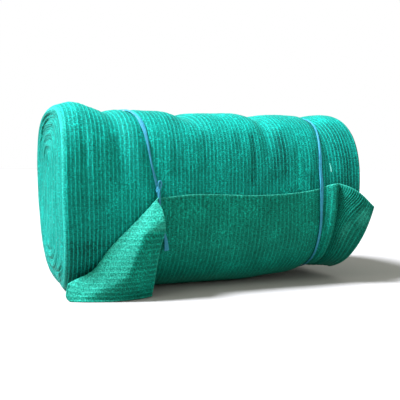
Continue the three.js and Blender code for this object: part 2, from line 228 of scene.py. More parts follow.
both_beds = [left_tie_route, right_tie_route]
front_and_top = np.array([90.0, 180.0])
print("radius in front and on top:", np.round(roll_radius(0.0, front_and_top, both_beds), 1))

# %% [markdown]
# ## Meshes from grids
# A knitted net is a regular thing, so each piece is a grid of points that follows the yarns:
# one way across the chains, the other way along them. One helper numbers the faces of such
# a grid, and one makes the mesh with its map. The map's first number counts chains and its
# second counts stitches, and the material draws the knit from them.

# %% Grid helpers
stitch = 4.5
mean_radius = 216


def grid_faces(rows, columns, closed=False, flip=False):
    """Corners as (row, column); the last row of a closed grid is followed by the first."""
    last_row = rows if closed else rows - 1
    i, j = np.meshgrid(np.arange(last_row), np.arange(columns - 1), indexing="ij")
    around = [(0, 0), (0, 1), (1, 1), (1, 0)]
    corners = np.stack([np.stack([i + a, j + b], -1) for a, b in around], -2)
    corners = corners.reshape(-1, 4, 2)
    return corners[:, ::-1] if flip else corners


def numbers_of(corners, rows, columns):
    """The number of the point at each corner, counted row by row."""
    return (corners[..., 0] % rows) * columns + corners[..., 1]


def piece_from(name, points, faces, maps, material):
    """A smooth piece in metres, from points in millimetres and a map place for each corner."""
    mesh = bpy.data.meshes.new(name)
    mesh.from_pydata(np.asarray(points, float) / 1000, [], [list(map(int, face)) for face in faces])
    layer = mesh.uv_layers.new(name="knit")
    places = [np.asarray(part, np.float32).reshape(-1) for part in maps]
    layer.data.foreach_set("uv", np.concatenate(places))
    mesh.polygons.foreach_set("use_smooth", [True] * len(mesh.polygons))
    mesh.materials.append(material)
    mesh.validate()
    print(name, "faces:", len(mesh.polygons), "points:", len(mesh.vertices))
    return new_object(name, mesh)


def keep_number(piece, name, values):
    """A number for each point that a material can read."""
    kept = piece.data.attributes.new(name, "FLOAT", "POINT")
    kept.data.foreach_set("value", np.asarray(values, np.float32).reshape(-1))


print("faces of a grid of 3 by 3 points:", len(grid_faces(3, 3)))

# %% [markdown]
# ## Shader maths as plain sums
# A procedural material is a lot of small sums, and wiring them by hand hides what they say.
# This class wraps one output of a node, so that `1 - hole * 0.5` adds the Math nodes by
# itself. Colours go through Mix nodes instead, because a Math node would make them grey.

# %% The wire class
class Wire:
    """One output of a node, with which sums can be written."""

    def __init__(self, tree, socket=None):
        self.tree, self.socket = tree, socket

    def make(self, kind, settings=None, sockets=None, out=0):
        """A new node: its settings first, then what its sockets hold."""
        node = self.tree.nodes.new(kind)
        for name, value in (settings or {}).items():
            setattr(node, name, value)
        for name, value in (sockets or {}).items():
            plug(self.tree, node.inputs[name], value)
        return Wire(self.tree, node.outputs[out])

    def sum_of(self, operation, *values):
        sockets = dict(enumerate(values))
        return self.make("ShaderNodeMath", {"operation": operation}, sockets)

    def __add__(self, other):
        return self.sum_of("ADD", self, other)

    def __sub__(self, other):
        return self.sum_of("SUBTRACT", self, other)

    def __rsub__(self, other):
        return self.sum_of("SUBTRACT", other, self)

    def __mul__(self, other):
        return self.sum_of("MULTIPLY", self, other)

    __radd__ = __add__
    __rmul__ = __mul__

    def part(self):
        return self.sum_of("FRACT", self)

    def whole(self):
        return self.sum_of("FLOOR", self)

    def size(self):
        return self.sum_of("ABSOLUTE", self)

    def most(self, other):
        return self.sum_of("MAXIMUM", self, other)

    def step(self, low, high):
        """0 below low, 1 above high and smooth between them."""
        return self.make("ShaderNodeMapRange", {"interpolation_type": "SMOOTHSTEP"},
                         {"Value": self, "From Min": low, "From Max": high})

    def between(self, first, second):
        """The colour that is this far from the first to the second."""
        node = self.make("ShaderNodeMix", {"data_type": "RGBA"}, {0: self}, out=2)
        for slot, colour in ((6, first), (7, second)):
            plug(self.tree, node.socket.node.inputs[slot], colour)
        return node


def plug(tree, socket, value):
    """A wire is linked to the socket, and a number or a colour is set on it."""
    if isinstance(value, Wire):
        tree.links.new(value.socket, socket)
    elif isinstance(value, tuple) and len(value) == 3 and socket.type == "RGBA":
        socket.default_value = (*value, 1)
    else:
        socket.default_value = value


def new_material(name, constants):
    """A material whose shader has these constants, which stay the same all over the surface."""
    material = bpy.data.materials.new(name)
    material.use_nodes = True
    shader = material.node_tree.nodes["Principled BSDF"]
    for socket, value in constants.items():
        shader.inputs[socket].default_value = value
    return material, Wire(material.node_tree), shader


def shade(red, green, blue):
    """A colour as a screen shows it, from 0 to 255, turned to the light that it stands for."""
    return tuple((v / 255 / 12.92) if v < 11 else ((v / 255 + 0.055) / 1.055) ** 2.4
                 for v in (red, green, blue))


print("mid green as light:", [round(v, 3) for v in shade(26, 140, 118)])

# %% [markdown]
# ## The knitted net
# Debris net is knitted from flat film yarn. Chains of loops run round the roll, and between
# them yarns zigzag from chain to chain and leave small holes. The holes are finer than a
# pixel of the picture, so they aren't cut: the material draws chains, zigzags and dark
# holes from the map, and a bump raises the yarns. The chains themselves are raised in the
# mesh, because they show as ribs from a step away. First come the masks, each 1 on its yarn
# and 0 beside it: a chain at each whole number across, broken into loops, and two zigzags
# that cross over between one chain and the next.

# %% Masks of the knit
chain_edge, loop_edge, yarn_edge = (0.68, 0.94), (0.5, 1.0), (0.1, 0.26)


def map_of(wire):
    """The two numbers of the map: across the yarns and along them."""
    place = wire.make("ShaderNodeUVMap", {"uv_map": "knit"})
    across = wire.make("ShaderNodeSeparateXYZ", sockets={0: place}, out=0)
    return across, Wire(wire.tree, across.socket.node.outputs[1])


def noise(wire, at, scale, detail):
    return wire.make("ShaderNodeTexNoise", sockets={"Vector": at, "Scale": scale, "Detail": detail})


def knit_masks(across, along):
    beside = (across.part() - 0.5).size() * 2
    loop = (along.part() - 0.5).size() * 2
    chain_mask = beside.step(*chain_edge) * (1 - loop.step(*loop_edge) * 0.7)
    swing = ((along * 0.5).part() - 0.5).size() * 2
    first = 1 - (across.part() - swing).size().step(*yarn_edge)
    second = 1 - (across.part() - 1 + swing).size().step(*yarn_edge)
    return chain_mask, first.most(second * 0.8)


print("a chain's loops are in mm:", stitch)

# %% [markdown]
# The green isn't even. Small random specks, partly painted glints of single threads, and broad
# patches of dust and crushing make it lighter and darker, and each chain has its own tone. Two
# numbers of the mesh add to that: painted shade in bands where the net is pressed into folds,
# with painted light where a fold stands out, and painted highlights on edges and on parts that face
# the lamps.

# %% Net material
def stronger(colour, times, more=0.0):
    """The same colour, lighter or darker."""
    return tuple(v * times + more for v in colour)


def net_material(name, chain, yarn, hole, tone=0.35, speckle=2.6, line=0.66):
    """The knit in three greens: for its chains, the yarns between them and the holes."""
    material, wire, shader = new_material(name, {"Specular IOR Level": 0.05})
    across, along = map_of(wire)
    point = wire.make("ShaderNodeTexCoord", out=3)
    speck, patch = noise(wire, point, 330.0, 2.0), noise(wire, point, 16.0, 3.0)
    across = across + (noise(wire, point, 45.0, 1.0) - 0.5) * 0.2
    chain_mask, yarn_mask = knit_masks(across, along)
    number = (across + 0.5).whole()
    own = wire.make("ShaderNodeTexWhiteNoise", {"noise_dimensions": "1D"}, {"W": number})
    # The first number paints shade into the colour, and light where it is negative; the second is
    # painted light, the pale highlights of edges and leaning parts.
    pressed = wire.make("ShaderNodeAttribute", {"attribute_name": "pressed"}, out=2)
    painted_light_mask = wire.make("ShaderNodeAttribute", {"attribute_name": "painted_light"}, out=2)
    light = (speck - 0.5) * speckle + (patch - 0.5) * 0.9 - pressed * 0.9
    tinted = (light * -1).step(0.0, 0.9).between(yarn_mask.between(hole, yarn), stronger(hole, 0.5))
    tinted = light.step(0.0, 0.9).between(tinted, stronger(chain, 1.9))
    broken = chain_mask * (speck.step(0.36, 0.58) * 0.6 + 0.4) * (line + (own - 0.5) * tone)
    lined = broken.between(tinted, stronger(chain, 1.85))
    # Painted highlight: the pale colour shown where the painted light number is high.
    lit = speck.step(0.36, 0.6).between(stronger(chain, 1.35, 0.01), stronger(chain, 2.3, 0.05))
    plug(wire.tree, shader.inputs["Base Color"], (painted_light_mask * 0.85).between(lined, lit))
    height = chain_mask.most(yarn_mask * 0.6) + (speck - 0.5) * 0.8
    bump = wire.make("ShaderNodeBump", sockets={"Strength": 0.5, "Distance": 0.0007, "Height": height})
    plug(wire.tree, shader.inputs["Normal"], bump)
    plug(wire.tree, shader.inputs["Roughness"], 0.5 + (1 - chain_mask) * 0.2 + (speck - 0.5) * 0.2)
    return material


wound_net = net_material("wound_net", shade(8, 132, 116), shade(5, 112, 97), shade(3, 78, 66))
edge_net = net_material("folded_edges", shade(12, 120, 104), shade(10, 110, 95), shade(5, 82, 70),
                        tone=0.1, speckle=3.2, line=0.55)
# The loose end's greens are darker than the wound net's: painted shade for the hanging front part.
shaded_loose_net = net_material("shaded_loose_net", shade(7, 114, 94), shade(4, 99, 81), shade(3, 72, 57),
                         tone=0.2, speckle=2.8, line=0.55)
print("net materials:", wound_net.name, edge_net.name, shaded_loose_net.name)

# %% [markdown]
# ## The film twine
# The ties are flat plastic film, gathered to a strand. Light runs along its creases, so the
# colour and the gloss have streaks along the strand, which the map's first number gives. The
# colour's streaks are partly the film's own tone and partly painted light, and the brightest ones are
# a painted glint.

# %% Twine material
def twine_material():
    material, wire, shader = new_material("blue_film", {"Specular IOR Level": 0.3})
    across, along = map_of(wire)
    lines = wire.make("ShaderNodeCombineXYZ", sockets={0: across * 9, 1: along * 0.35})
    streak, painted_glint = noise(wire, lines, 1.0, 3.0), noise(wire, lines, 2.3, 1.0)
    base = streak.step(0.3, 0.7).between(shade(18, 90, 114), shade(30, 128, 146))
    # Painted glint: the brightest streaks get a pale blue, a painted highlight.
    colour = painted_glint.step(0.6, 0.75).between(base, shade(60, 162, 172))
    plug(wire.tree, shader.inputs["Base Color"], colour)
    bump = wire.make("ShaderNodeBump", sockets={"Strength": 0.5, "Distance": 0.0006, "Height": streak})
    plug(wire.tree, shader.inputs["Normal"], bump)
    plug(wire.tree, shader.inputs["Roughness"], 0.5 + streak * 0.25)
    return material


blue_film = twine_material()
print("twine material:", blue_film.name)

# %% [markdown]
# ## The wound net
# The last turns of the net go all the way round, so their chains are rings side by side,
# more than 80 in the length of the roll. The mesh follows them: five columns of points for
# each chain, so each chain is a real ridge. A few soft upright folds on the front are
# pressed in, and the same numbers paint shade into the colour there, and light where a fold stands
# out.

# %% Chains and pressed folds
turn_rows = 190
chain_pitch, columns_per_chain = 9.0, 5
chain_shape = np.array([1.0, 0.42, 0.0, 0.0, 0.42])
# Each fold is pressed into the mesh and also paints shade into the colour. The broad ones at x 338 and
# -320 are painted shade for the darker right end and the low left front, and the one at 205 with a
# negative depth paints a lighter band.
pressed_folds_and_shade = {
    "x": [-48, 37, 72, 128, 163, 246, 205, -120, 338, -320],
    "lean": [4, 6, 10, 30, 4, -12, 0, 6, 0, 0],
    "width": [8, 12, 8, 13, 12, 9, 6, 14, 40, 55],
    "depth": [0.3, 0.35, 0.6, 0.5, 0.6, 0.5, -0.45, 0.25, 0.5, 0.7],
    "from": [105, 116, 98, 98, 100, 92, 96, 100, 84, 32],
    "to": [138, 138, 136, 138, 136, 112, 124, 150, 152, 72],
}


def chain_relief(column, height):
    """Ridges on every fifth column."""
    return height * chain_shape[np.asarray(column) % columns_per_chain]


def pressed_and_shade_at(x, turn):
    """How far the net is pressed in along soft upright folds on the front; in the colour it is painted
    shade.
    """
    total, soft = 0 * x, 8
    for at, lean, width, depth, start, end in zip(*pressed_folds_and_shade.values()):
        middle = at + lean * (turn - start) / (end - start)
        fade = ease((turn - start) / soft) * ease((end - turn) / soft)
        total = total + depth * bell(x - middle, width) * fade
    return total


print("pressed folds:", len(pressed_folds_and_shade["x"]))

# %% [markdown]
# The surface takes the form of the roll and adds to it. The chains wander a little, each
# lies at its own height, and soft waves of the turns below show through, as on any roll
# wound by hand. At both rims the net rounds over into the ends, and there the chains fade.

# %% Surface of the wound net
rim_insets = np.array([0, 1.2, 2.6, 4.4, 6.6])
rim_width, rim_drop, rim_round = 9, 9, 3.9
chain_height, fold_height = 0.34, 3.5


def wound_surface():
    """Points of the wound net, with the chain number, x and turn of each."""
    turn = np.arange(turn_rows)[:, None] * 360 / turn_rows
    left_rim, right_rim = read(rims, "turn", "left", turn), read(rims, "turn", "right", turn)
    length = right_rim - left_rim - 2 * rim_width
    chains = int(round(length.mean() / chain_pitch))
    between = np.linspace(0, 1, chains * columns_per_chain + 1)[None, :]
    x = np.concatenate([left_rim + rim_insets, left_rim + rim_width + length * between,
                        right_rim - rim_insets[::-1]], axis=1)
    inset = np.minimum(x - left_rim, right_rim - x)
    column = np.arange(x.shape[1])[None, :] - len(rim_insets)
    chain = column / columns_per_chain
    own = scatter(np.round(chain), 3)
    near_left = bell(x + 300, 38) * ease((250 - turn) / 60) * ease((turn - 30) / 30)
    deep = 1 - 0.5 * ease((x - 120) / 180) + 0.7 * near_left
    height = chain_height * deep * (0.4 + 1.2 * own) * (1 + 0.35 * swell(chain * 0.7, turn / 40, 5))
    relief = chain_relief(column, height) * ease((inset - 3) / 8)
    relief += 1.5 * swell(x / 34, turn / 95, 11) + 0.6 * swell(x / 13, turn / 60, 12)
    relief += 0.4 * swell(x / 6, turn / 9, 13)
    relief -= fold_height * pressed_and_shade_at(x, turn)
    sink = rim_drop * np.exp(-inset / rim_round)
    wander = 1.3 * swell(x / 50, turn / 22, 21) + 0.5 * swell(chain, turn / 12, 22)
    wander *= ease((inset - 2) / 30)
    flat = ease((np.minimum(turn, 360 - turn) - 14) / 8)
    points = roll_point(x + wander, turn + 0 * x, both_beds, relief * flat - 0.8 - sink)
    return points, chain + np.zeros_like(x), x, turn


wound_points, chain_of, wound_x, wound_turn = wound_surface()
print("wound net: points round and along", chain_of.shape)

# %% [markdown]
# The piece is one closed grid. Its left rim gets a painted highlight, where the rounded edge faces the
# high lamp.

# %% Mesh of the wound net
rows, columns = chain_of.shape
corners = grid_faces(rows, columns, closed=True)
map_across = chain_of[corners[..., 0] % rows, corners[..., 1]]
map_along = corners[..., 0] * (2 * math.pi * mean_radius / turn_rows) / stitch
net_wrap = piece_from("net_wrap", wound_points.reshape(-1, 3), numbers_of(corners, rows, columns),
                      [np.stack([map_across, map_along], -1)], wound_net)
# The pressed number is painted shade in the wound net's colour, and painted light where it is
# negative.
keep_number(net_wrap, "pressed", pressed_and_shade_at(wound_x, wound_turn))
# Painted highlight along the left rim, a pale strip that the material reads.
rim_painted_highlight = 0.5 * bell(wound_x - wound_x[:, :1], 5) * (0.75 + 0.25 * drift(wound_turn / 7, 51))
keep_number(net_wrap, "painted_light", rim_painted_highlight)
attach(net_wrap, "root")
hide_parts("net_roll")

# %% [markdown]
# ## The ends of the roll
# An end shows the folded edges of every turn, wound in a spiral from the heart to the rim.
# A grid of rings and turns carries it. Loose and tight turns alternate, which makes the
# broad swells, and each fine turn is a rounded fold with a groove beside it. The left end
# is crushed flatter, and near its top the outer turns arch apart and leave a dark slit.
# The net was wound from a flat fold, so the inner turns are upright slots, not circles.

# %% Tables of the ends
fine_turns, rings_per_turn = 24, 4
main_turns, turn_spread, flat_heart = 4.5, 1.2, 0.45
end_bulge, heart_hollow, heart_width = 6, 5, 0.12
turn_relief = {"side": [-1, 1], "main": [1.4, 3.0], "fine": [0.9, 2.4]}
crushed_end = {"least": 0.4, "turn": 200, "span": 45}
left_end_slits = {
    "turn": [199, 190, 36, 176], "reach": [0.815, 0.945, 0.86, 0.90],
    "depth": [9, 3.5, 8, -2], "span": [16, 24, 8, 18], "width": [0.017, 0.010, 0.018, 0.012],
    "drift": [-0.0043, 0.0, 0.004, -0.001],
}
right_end_slits = {
    "turn": [140, 300], "reach": [0.8, 0.7], "depth": [8, 5], "span": [40, 50],
    "width": [0.04, 0.03], "drift": [-0.001, 0.001],
}


def end_relief(side, reach, turn):
    """How far an end stands out: its bulge, its hollow heart and the swell of its main turns."""
    spiral = np.cos(2 * math.pi * (main_turns * reach ** turn_spread - side * turn / 360))
    main = np.interp(side, turn_relief["side"], turn_relief["main"])
    out = end_bulge * (1 - reach ** 4) + main * spiral * ease((1 - reach) / 0.12)
    return out - heart_hollow * bell(reach, heart_width)


print("fine turns:", fine_turns, "slits on the left:", len(left_end_slits["turn"]))

# %% [markdown]
# Each ring of the grid is a share of the way from the axis to the rim, and the rim is the
# wrap's own last row of points, so no gap opens. The fine turns are a cosine of the number
# of turns wound. On the left they show best near the top, and are crushed flat below.

# %% Surface of an end
def end_surface(side, rim, slits):
    """Points of an end, and how many turns of net have been wound up to each."""
    rings = fine_turns * rings_per_turn
    phase = np.arange(rings, 0, -1)[None, :] / rings * fine_turns
    reach = (phase / fine_turns) ** (1 / turn_spread)
    turn = np.arange(turn_rows)[:, None] * 360 / turn_rows
    out = end_relief(side, reach, turn) - end_relief(side, np.ones_like(turn), turn)
    wound = phase - side * turn / 360
    travelled = np.floor(wound + 0.5) + side * turn / 360
    fold = 0.5 + 0.5 * np.cos(2 * math.pi * wound)
    height = np.interp(side, turn_relief["side"], turn_relief["fine"])
    near_top = bell(turn - crushed_end["turn"], crushed_end["span"])
    least = crushed_end["least"] if side < 0 else 1
    crushed = least + (1 - least) * near_top
    fine = height * crushed * (fold ** 0.7 - 0.6) + 0.8 * crushed * drift(travelled * 3, 31)
    fine += 0.9 * swell(wound * 1.1, turn / 12, 33)
    fine += 1.8 * swell(reach * 6, turn / 50, 35)
    out = out + fine * ease((1 - reach) / 0.035)
    for at, far, depth, span, width, slant in zip(*slits.values()):
        beside = reach - far - slant * (turn - at)
        groove = bell(beside, width) - 0.35 * bell(beside - 2 * width, width)
        out = out - depth * bell(turn - at, span) * groove
    middle = side * (half_length - 4)
    x = middle + (rim[:, None, 0] - middle) * reach ** 3 + side * out
    y = rim[:, None, 1] * reach
    upright = reach + flat_heart * (1 - reach) ** 1.5
    z = axis_height + (rim[:, None, 2] - axis_height) * upright
    points = np.stack([x, y, z], -1)
    points[:, 0] = rim
    return points, wound


def make_end(name, side, rim, slits):
    """An end of its rings and turns, closed at the heart by a fan of small triangles."""
    points, wound = end_surface(side, rim, slits)
    rows, columns = wound.shape
    corners = grid_faces(rows, columns, closed=True, flip=side < 0)
    i, j = corners[..., 0], corners[..., 1]
    across = wound[i % rows, j] - side * (i // rows)
    reach_of = ((columns - j) / columns) ** (1 / turn_spread)
    around = 2 * math.pi * mean_radius * reach_of * i / turn_rows / stitch
    last = np.arange(rows) * columns + columns - 1
    fan = np.stack([last, np.full(rows, rows * columns), np.roll(last, -1)], -1)
    fan = fan[:, ::-1] if side < 0 else fan
    piece = piece_from(name, np.concatenate([points.reshape(-1, 3), points[:, -1].mean(0)[None]]),
                       [*numbers_of(corners, rows, columns), *fan],
                       [np.stack([across, around], -1), np.zeros((rows, 3, 2))], edge_net)
    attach(piece, "root")
    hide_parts("net_roll")
    return piece


left_end = make_end("left_end", -1, wound_points[:, 0], left_end_slits)
right_end = make_end("right_end", 1, wound_points[:, -1], right_end_slits)

# %% [markdown]
# ## The loose end of the net
# The loose end is one sheet. Each of its chains starts under the roll and climbs its front.
# On the right it runs up to the cut edge. On the left it climbs only to the slanting fold,
# turns back there and runs level over the folded corner, whose other side now faces out.
# So the grid has one column of points for each fifth of a chain, and the fold goes exactly
# from corner to corner of its cells. Right of the tie the cloth is gathered: the chains
# crowd into a crease and fan out from it to the standing corner. The folded corner has a
# ridge, its fold, which sags low down, and a bend, below which it hangs upright.

# %% Tables of the loose end
root_turn, cloth_thickness, cloth_gap = 25, 1.6, 1.5
cloth_middle, cloth_height, on_floor = 1.25, 232, 1.7
cut_edge = {
    "x": [-375, -166, -74, 80, 178, 259, 291, 314, 344, 375],
    "turn": [92, 93, 95, 94, 95, 98, 101, 101, 96, 86],
    "flare": [0, 0, 0, 0, 0, 0, 2, 8, 24, 41],
    "slide": [0, 0, 0, 0, 0, 0, 0, 2, 8, 16],
}
gather_folds = {
    "x": [294, 313, 345, 302, 310.5], "out": [11, -5, 7, 2.5, -3.5], "width": [12, 9, 26, 4, 3],
}
apex = np.array([-168.0, -219.0, 226.0])
corner_foot = {
    "way": [0, 0.07, 0.14, 0.3, 0.5, 0.8, 1],
    "x": [-360, -366, -356, -318, -264, -204, -174],
    "y": [-176, -182, -188, -203, -217, -210, -197],
    "z": [40, 14, 1.7, 1.7, 1.7, 1.7, 1.7],
}
bend_line = {
    "fall": [0, 0.27, 0.33, 0.51, 0.61, 0.72, 1.0],
    "from_ridge": [14, 22, 20, 33, 41, 48, 38],
}
corner_width, corner_bulge, corner_dip = 205, 25, 6
corner_neck = {"out": 13, "in": 6, "fall": 0.2, "span": 0.14}
edge_bow = {"by": 17, "fall": 0.24, "span": 0.2}
fold_sag = {"by": 10, "fall": 0.78, "span": 0.16}
ear_columns, cloth_rows = 96, 108
chain_stations = {"chain": [0, 41, 47, 65], "x": [-168, 259, 309, 375]}
front_chains, crease_chain, crease_x = 65, 47, 309
corner_height = apex[2] - corner_foot["z"][-1]
print("height of the folded corner:", corner_height)

# %% [markdown]
# The front part lies on the roll at its own small gap. Its level runs from 0 under the roll
# to 1 at the cut edge, and the flare, the slide and the gathered folds grow with it.

# %% The part on the roll
gather_pull = {"by": 0.22, "level": 0.5, "span": 0.3, "x": 266, "width": 90}


def cloth_on_roll(x, level):
    """The middle of the cloth where it lies on the roll."""
    turn = root_turn + (read(cut_edge, "x", "turn", x) - root_turn) * level
    flare = read(cut_edge, "x", "flare", x) * level ** 1.6
    slide = read(cut_edge, "x", "slide", x) * level
    folds = sum(out * bell(x - at, width) for at, out, width in zip(*gather_folds.values()))
    beside = x - gather_pull["x"]
    pull = gather_pull["by"] * bell(level - gather_pull["level"], gather_pull["span"])
    pull = pull * bell(beside, gather_pull["width"])
    points = roll_point(x, turn, [right_tie_route], cloth_gap + cloth_middle)
    points[..., 0] += slide - beside * pull
    points[..., 1] -= flare + folds * ease(level / 0.35) * ease((1.35 - level) / 0.5)
    return points


right_corner = cloth_on_roll(np.array([375.0]), np.array([1.0]))[0]
print("the standing corner is at:", np.round(right_corner, 1))

# %% [markdown]
# The folded corner is a fan of straight lines from its apex to its foot on the floor, bent
# and bulged. Its chains lie level, so a place on it is found by a chain's drop below the
# apex and the share of the way from the fold to the upright edge.

# %% The folded corner
def from_fold(way, fall):
    """The distance of a place from the fold, square to it."""
    return corner_width * way * fall * math.sqrt(0.5)


def corner_point(way, fall):
    """A place on the folded corner: way from the fold to the upright edge, fall from its apex."""
    fall = np.maximum(fall, 1e-6)
    foot = np.stack([read(corner_foot, "way", axis, way) for axis in "xyz"], -1)
    points = apex + (foot - apex) * fall[..., None]
    to_bend = np.clip(from_fold(way, fall) / np.interp(fall, *bend_line.values()), 0, 1)
    rounding = 0.35 + 0.65 * (0.75 * to_bend + 0.25 * ease(to_bend))
    points[..., 1] -= corner_bulge * rounding * np.sin(math.pi * np.minimum(fall, 0.97)) ** 0.8
    neck = bell(fall - corner_neck["fall"], corner_neck["span"]) * way
    points[..., 1] -= corner_neck["out"] * neck * ease(fall / 0.1)
    points[..., 2] -= corner_dip * np.sin(math.pi * fall)
    sag = fold_sag["by"] * bell(fall - fold_sag["fall"], fold_sag["span"]) * (1 - way) ** 2
    points[..., 0] += sag
    points[..., 2] -= sag
    at_edge = ease((way - 0.3) / 0.7) * ease(fall / 0.1)
    bow = edge_bow["by"] * bell(fall - edge_bow["fall"], edge_bow["span"])
    points[..., 0] += bow * at_edge - corner_neck["in"] * neck
    return points


def way_and_fall(drop, share):
    """The way and fall of a place on the level chain that is this far below the apex."""
    ways = np.linspace(0, 0.14, 60)
    foot_drop = apex[2] - read(corner_foot, "way", "z", ways)
    start = np.interp(drop * corner_height, foot_drop, ways, left=0.0)
    way = start + (1 - start) * share
    fall = drop * corner_height / (apex[2] - read(corner_foot, "way", "z", way))
    return way, np.minimum(fall, 1)


def level_chain(drop, share):
    return corner_point(*way_and_fall(drop, share))


def above_bend(drop, share):
    """1 on the part of the folded corner that leans back into the light, 0 on the upright part."""
    way, fall = way_and_fall(drop, share)
    soft = 5 + 40 * ease((fall - 0.66) / 0.2)
    past_bend = from_fold(way, fall) - np.interp(fall, *bend_line.values())
    beside = 1 - ease(past_bend / soft + 0.5)
    return np.maximum(beside, 1 - ease((fall - 0.27 - 0.04 * (1 - way)) / 0.03))


print("a chain half way down, from fold to edge:", np.round(level_chain(0.5, np.array([0.0, 1.0])), 0))

# %% [markdown]
# On the left the front part ends at the fold, so there it is drawn to the fold's line and
# settles back onto the roll beside it. Then the grid is filled: front part, fold, corner.
# Painted light is kept for the material: on the cut edge, along the folded corner's side edge, on the
# leaning part of the corner that faces the lamp, low on the front part near the floor, and in patches
# on the gathered part.

# %% The whole loose end
# Painted light: pale patches on the gathered part, and how strongly each edge and part is painted
# lighter.
painted_light_patches = {
    "chain": [63, 50, 61], "level": [0.84, 0.50, 0.62], "wide": [1.6, 1.8, 1.2],
    "tall": [0.1, 0.09, 0.1], "amount": [0.4, 0.35, 0.2],
}
painted_light_at = {"cut edge": 0.5, "side edge": 0.4, "bend": 0.33, "foot": 0.3}


def front_cloth(x, level):
    """The front part, drawn to the fold on its left."""
    drop = np.clip((1 - level) * 9 / 8, 0, 1)
    ridge = level_chain(drop, np.zeros_like(drop))
    root = cloth_on_roll(np.full_like(level, -350.0), np.zeros_like(level))
    below = (1 - np.clip(level * 9, 0, 1))[..., None]
    ridge = ridge + (root - ridge) * below
    ridge[..., 2] = np.maximum(ridge[..., 2], on_floor)
    start = ridge[..., 0]
    x = np.maximum(x, start)
    settle = 1 - ease((x - start) / (12 + 75 * (1 - level)))
    return cloth_on_roll(x, level) + settle[..., None] * (ridge - cloth_on_roll(start, level))


def loose_columns():
    """The chain, level and fall of every point, with its row and column."""
    front_columns = front_chains * columns_per_chain
    column = np.arange(ear_columns + front_columns + 1)[None, :]
    row = np.arange(cloth_rows + 1)[:, None] + 0 * column
    column = column + 0 * row
    chain = (column - ear_columns) / columns_per_chain
    fall = np.clip((ear_columns - column) / ear_columns, 0, 1)
    return row, column, chain, row / cloth_rows, fall


def loose_surface():
    row, column, chain, level, fall = loose_columns()
    fold_x = level_chain(fall, np.zeros_like(fall))[..., 0]
    x = np.where(chain < 0, fold_x, read(chain_stations, "chain", "x", chain))
    share = np.clip((chain - crease_chain) / (front_chains - crease_chain), 0, 1)
    crowding = 1 + 3.2 * ease((1 - level) / 0.5)
    fanned = crease_x + (half_length - crease_x) * share ** crowding
    x = np.where(chain > crease_chain, fanned, x)
    points = front_cloth(x, level)
    steps = np.maximum(ear_columns - column, 1)
    ridge_row = cloth_rows - (ear_columns - column)
    over = np.clip((row - ridge_row) / steps, 0, 1)
    folded = (column < ear_columns) & (row >= ridge_row)
    ear = level_chain(fall, over)
    points = np.where(folded[..., None], ear, points)
    # Painted highlights on the cut edge and the corner's side edge, painted light on the leaning part
    # and low down, and the painted patches.
    cut = painted_light_at["cut edge"] * bell(cloth_rows - row, 1.1)
    cut = cut + painted_light_at["side edge"] * bell(column, 1.1) * folded
    light = np.maximum(cut, painted_light_at["bend"] * folded * above_bend(fall, over))
    light = np.maximum(light, painted_light_at["foot"] * bell(level - 0.08, 0.12) * ~folded)
    for at, high, wide, tall, much in zip(*painted_light_patches.values()):
        light = np.maximum(light, much * bell(chain - at, wide) * bell(level - high, tall))
    return points, chain, level, folded, np.clip(light, 0, 1)


loose_points, loose_chain, loose_level, loose_folded, loose_painted_light = loose_surface()
print("loose end: points across and up", loose_chain.shape[::-1])

# %% [markdown]
# ## Thickness and chains of the loose end
# The sheet gets a front and a back, a little apart along its own normal, and the chains
# push both the same way, as a corrugated sheet does. The border is closed. Two numbers are
# kept for the material: painted light, which is most at the cut edge and where the folded
# corner leans back toward the lamp, and painted shade on the gathered part.

# %% Front and back of the loose end
sheet_floor = 0.3


def normals_of(points):
    """A line of length 1 square to the surface at each point of a grid."""
    across = np.gradient(points, axis=1)
    upward = np.gradient(points, axis=0)
    normal = np.cross(across, upward)
    length = np.linalg.norm(normal, axis=-1, keepdims=True)
    return normal / np.maximum(length, 1e-9)


def both_sides():
    column = np.arange(loose_chain.shape[1])[None, :] - ear_columns
    normal = normals_of(loose_points)
    height = np.where(loose_folded, 0.42, 0.5 + 0.7 * ease((loose_chain - 44) / 6))
    height = height * (0.5 + scatter(np.round(loose_chain), 41))
    relief = chain_relief(column, height) - 0.3
    relief = np.where(loose_folded, -relief, relief)
    relief += 0.8 * swell(loose_chain / 4, loose_level * 3, 43) * ease(loose_level / 0.2)
    body = loose_points + normal * relief[..., None]
    front = body + normal * cloth_thickness / 2
    behind = body - normal * cloth_thickness / 2
    for side in (front, behind):
        side[..., 2] = np.maximum(side[..., 2], sheet_floor)
    return np.concatenate([front.reshape(-1, 3), behind.reshape(-1, 3)])


def sheet_faces(rows, columns):
    """Triangles of the front, of the back, and of the border that joins them."""
    corners = grid_faces(rows, columns)
    halves = np.concatenate([corners[:, [0, 1, 2]], corners[:, [0, 2, 3]]])
    number = np.arange(rows * columns).reshape(rows, columns)
    front = numbers_of(halves, rows, columns)
    a = np.concatenate([number[0], number[1:, -1], number[-1, -2::-1], number[-2:0:-1, 0]])
    b = np.roll(a, -1)
    a_back, b_back = a + number.size, b + number.size
    edge = [np.stack([a, a_back, b_back], -1), np.stack([a, b_back, b], -1)]
    return np.concatenate([front, front[:, ::-1] + number.size, *edge])


loose_faces = sheet_faces(*loose_chain.shape)
print("triangles of the loose end:", len(loose_faces))

# %% [markdown]
# The piece is made of both sides, with the chain map on each, and keeps two numbers for the material.

# %% Mesh of the loose end
chain_map = np.stack([loose_chain, loose_level * cloth_height / stitch], -1).reshape(-1, 2)
both_maps = np.concatenate([chain_map, chain_map])
loose_end = piece_from("loose_net_end", both_sides(), loose_faces, [both_maps[loose_faces]], shaded_loose_net)
# The painted light of the loose end goes on both its sides.
keep_number(loose_end, "painted_light", [loose_painted_light, loose_painted_light])
